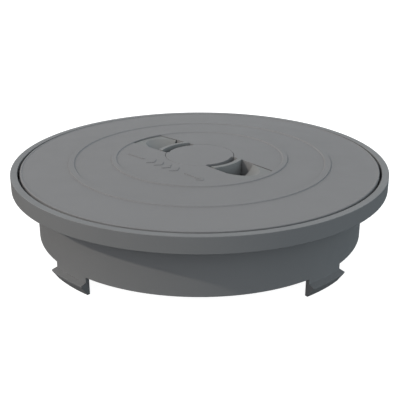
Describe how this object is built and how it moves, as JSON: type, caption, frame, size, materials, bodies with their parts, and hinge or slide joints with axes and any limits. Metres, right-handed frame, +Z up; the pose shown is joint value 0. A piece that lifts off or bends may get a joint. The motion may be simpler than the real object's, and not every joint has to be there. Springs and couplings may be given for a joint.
{
  "type": "manhole cover",
  "caption": "Round plastic access cover: crowned twist-off lid with two finger pockets, seated in a flanged frame with a skirt and snap feet.",
  "frame": {"origin": "centre of the object, on the plane that the four snap feet stand on", "axes": "+Z up through the lid; +X and +Y between the feet, which are at 45, 135, 225 and 315 degrees; the finger pockets lie along the line from 135 to 315 degrees"},
  "size_m": [0.4, 0.4, 0.0971],
  "materials": {
    "frame_plastic": "moulded, fine satin grain",
    "lid_plastic": "moulded, fine satin grain",
    "cup_plastic": "moulded, smoother",
    "cap_plastic": "moulded, fine satin grain",
    "seal_rubber": "matte black",
    "gasket_rubber": "matte black sponge",
    "screw_steel": "plain stainless"
  },
  "bodies": {
    "frame": {"frame_ring": "frame_plastic", "flange_gasket": "gasket_rubber"},
    "seal": {"lid_seal": "seal_rubber"},
    "lid": {"lid_panel": "lid_plastic", "finger_cup_right": "cup_plastic", "finger_cup_left": "cup_plastic", "cup_gasket_right": "gasket_rubber", "cup_gasket_left": "gasket_rubber", "cup_screws": "screw_steel", "centre_cap": "cap_plastic", "cap_screw": "screw_steel", "cap_washer": "screw_steel"}
  },
  "joints": [
    {"name": "lid_lift", "type": "slide", "parent": "frame", "child": "seal", "axis": [0, 0, 1], "range_m": [0, 0.07]},
    {"name": "lid_turn", "type": "hinge", "parent": "seal", "child": "lid", "pos_m": [0, 0, 0.08], "axis": [0, 0, 1], "range_deg": [-45, 0]}
  ]
}
